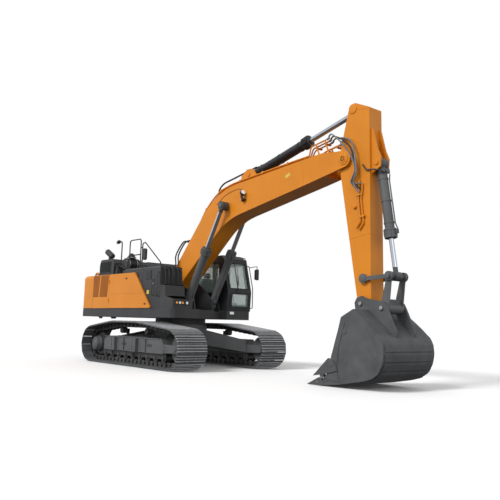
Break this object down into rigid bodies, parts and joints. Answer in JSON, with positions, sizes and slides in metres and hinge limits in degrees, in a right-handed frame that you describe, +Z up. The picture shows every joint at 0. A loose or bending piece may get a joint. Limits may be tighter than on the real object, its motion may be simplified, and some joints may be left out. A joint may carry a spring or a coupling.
{
  "type": "crawler excavator",
  "caption": "Large orange crawler excavator with one-piece boom, arm and bucket on pinned hydraulic cylinders, a swinging upper structure and a closed cab.",
  "frame": {"origin": "on the ground under the middle of the whole machine, boom forward and bucket resting", "axes": "+X forward along the boom, +Y to the operator's left, +Z up"},
  "size_m": [12.037, 3.75, 6.2999],
  "materials": {
    "orange": "semi-gloss",
    "grey": "satin",
    "black": "satin",
    "steel": "worn",
    "chrome": "polished",
    "glass": "clear",
    "fabric": "matt"
  },
  "bodies": {
    "upper": {"air_cleaner": "black", "battery_box": "black", "cab_handrail": "black", "cab_shell": "black", "consoles": "black", "control_valve": "steel", "counterweight": "orange", "engine": "grey", "engine_bay": "black", "exhaust": "steel", "fuel_tank": "black", "hydraulic_tank": "black", "main_frame": "black", "muffler_housing": "black", "rear_panel_left": "orange", "rear_panel_right": "orange", "right_handrail": "black", "seat_back": "fabric", "seat_base": "black", "seat_cushion": "fabric", "swing_motor": "steel", "tool_box": "black", "window_left": "glass", "window_rear": "glass", "window_right": "glass", "windshield_lower": "glass", "windshield_upper": "glass"},
    "arm": {"arm": "orange"},
    "arm_barrel": {"arm_barrel": "black"},
    "arm_rod": {"arm_rod": "chrome"},
    "boom": {"boom": "orange"},
    "boom_barrels": {"boom_barrel_left": "grey", "boom_barrel_right": "grey"},
    "boom_rods": {"boom_rod_left": "chrome", "boom_rod_right": "chrome"},
    "bucket": {"bucket": "grey", "bucket_teeth": "steel"},
    "bucket_barrel": {"bucket_barrel": "grey"},
    "bucket_rod": {"bucket_rod": "chrome"},
    "cab_door": {"cab_door": "black", "door_glass": "glass"},
    "undercarriage": {"carbody": "grey", "carrier_rollers_left": "grey", "carrier_rollers_right": "grey", "idler_left": "grey", "idler_right": "grey", "rollers_left": "grey", "rollers_right": "grey", "sprocket_left": "grey", "sprocket_right": "grey", "swing_bearing": "black", "track_frame_left": "grey", "track_frame_right": "grey", "track_left": "steel", "track_right": "steel"},
    "coupler_link": {"coupler_link": "grey"},
    "engine_hood": {"engine_hood": "black"},
    "idler_links": {"idler_links": "grey"},
    "side_door_left": {"side_door_left": "orange"},
    "side_door_right": {"side_door_right": "orange"}
  },
  "joints": [
    {"name": "swing", "type": "hinge", "parent": "undercarriage", "child": "upper", "pos_m": [-2.21847, 0, 1.362], "axis": [0, 0, 1], "continuous": true},
    {"name": "boom_lift", "type": "hinge", "parent": "upper", "child": "boom", "pos_m": [-2.06847, 0, 2.42], "axis": [0, -1, 0], "range_deg": [-66, 38]},
    {"name": "arm_curl", "type": "hinge", "parent": "boom", "child": "arm", "pos_m": [4.45878, 0, 5.03072], "axis": [0, 1, 0], "range_deg": [-72, 38]},
    {"name": "bucket_curl", "type": "hinge", "parent": "arm", "child": "bucket", "pos_m": [5.01847, 0, 1.74606], "axis": [0, 1, 0], "range_deg": [-63, 97]},
    {"name": "boom_barrel_swivel", "type": "hinge", "parent": "upper", "child": "boom_barrels", "pos_m": [-1.28847, 0, 1.75], "axis": [0, -1, 0], "range_deg": [-68, 39.5]},
    {"name": "boom_rod_stroke", "type": "slide", "parent": "boom_barrels", "child": "boom_rods", "axis": [0.4965, 0, 0.868], "range_m": [-1.04, 0.6]},
    {"name": "arm_barrel_swivel", "type": "hinge", "parent": "boom", "child": "arm_barrel", "pos_m": [0.99929, 0, 5.25178], "axis": [0, 1, 0], "range_deg": [-3.5, 1.9]},
    {"name": "arm_rod_stroke", "type": "slide", "parent": "arm_barrel", "child": "arm_rod", "axis": [0.97, 0, 0.2431], "range_m": [-1.3, 0.69]},
    {"name": "idler_swivel", "type": "hinge", "parent": "arm", "child": "idler_links", "pos_m": [5.01783, 0, 2.28562], "axis": [0, 1, 0], "range_deg": [-54, 82.5]},
    {"name": "coupler_swivel", "type": "hinge", "parent": "bucket", "child": "coupler_link", "pos_m": [5.56847, 0, 1.65106], "axis": [0, 1, 0], "range_deg": [-73.5, 48]},
    {"name": "bucket_barrel_swivel", "type": "hinge", "parent": "arm", "child": "bucket_barrel", "pos_m": [5.30621, 0, 4.82007], "axis": [0, 1, 0], "range_deg": [-4, 6]},
    {"name": "bucket_rod_stroke", "type": "slide", "parent": "bucket_barrel", "child": "bucket_rod", "axis": [0.1522, 0, -0.9883], "range_m": [-0.51, 0.78]},
    {"name": "engine_hood_hinge", "type": "hinge", "parent": "upper", "child": "engine_hood", "pos_m": [-4.97647, 0, 2.6678], "axis": [0, -1, 0], "range_deg": [0, 65]},
    {"name": "side_door_right_hinge", "type": "hinge", "parent": "upper", "child": "side_door_right", "pos_m": [-4.01247, -1.505, 1.62], "axis": [0, 0, -1], "range_deg": [0, 100]},
    {"name": "side_door_left_hinge", "type": "hinge", "parent": "upper", "child": "side_door_left", "pos_m": [-4.01247, 1.505, 1.62], "axis": [0, 0, 1], "range_deg": [0, 100]},
    {"name": "cab_door_hinge", "type": "hinge", "parent": "upper", "child": "cab_door", "pos_m": [-1.90547, 1.54, 1.62], "axis": [0, 0, 1], "range_deg": [0, 95]}
  ],
  "couplings": [
    {"joint": "boom_barrel_swivel", "follows": "boom_lift", "ratio": 1.018},
    {"joint": "boom_rod_stroke", "follows": "boom_lift", "m_per_rad": 0.888},
    {"joint": "arm_barrel_swivel", "follows": "arm_curl", "ratio": 0.046},
    {"joint": "arm_rod_stroke", "follows": "arm_curl", "m_per_rad": 1.025},
    {"joint": "idler_swivel", "follows": "bucket_curl", "ratio": 0.837},
    {"joint": "coupler_swivel", "follows": "bucket_curl", "ratio": -0.75},
    {"joint": "bucket_barrel_swivel", "follows": "bucket_curl", "ratio": 0.0598},
    {"joint": "bucket_rod_stroke", "follows": "bucket_curl", "m_per_rad": 0.4553}
  ]
}
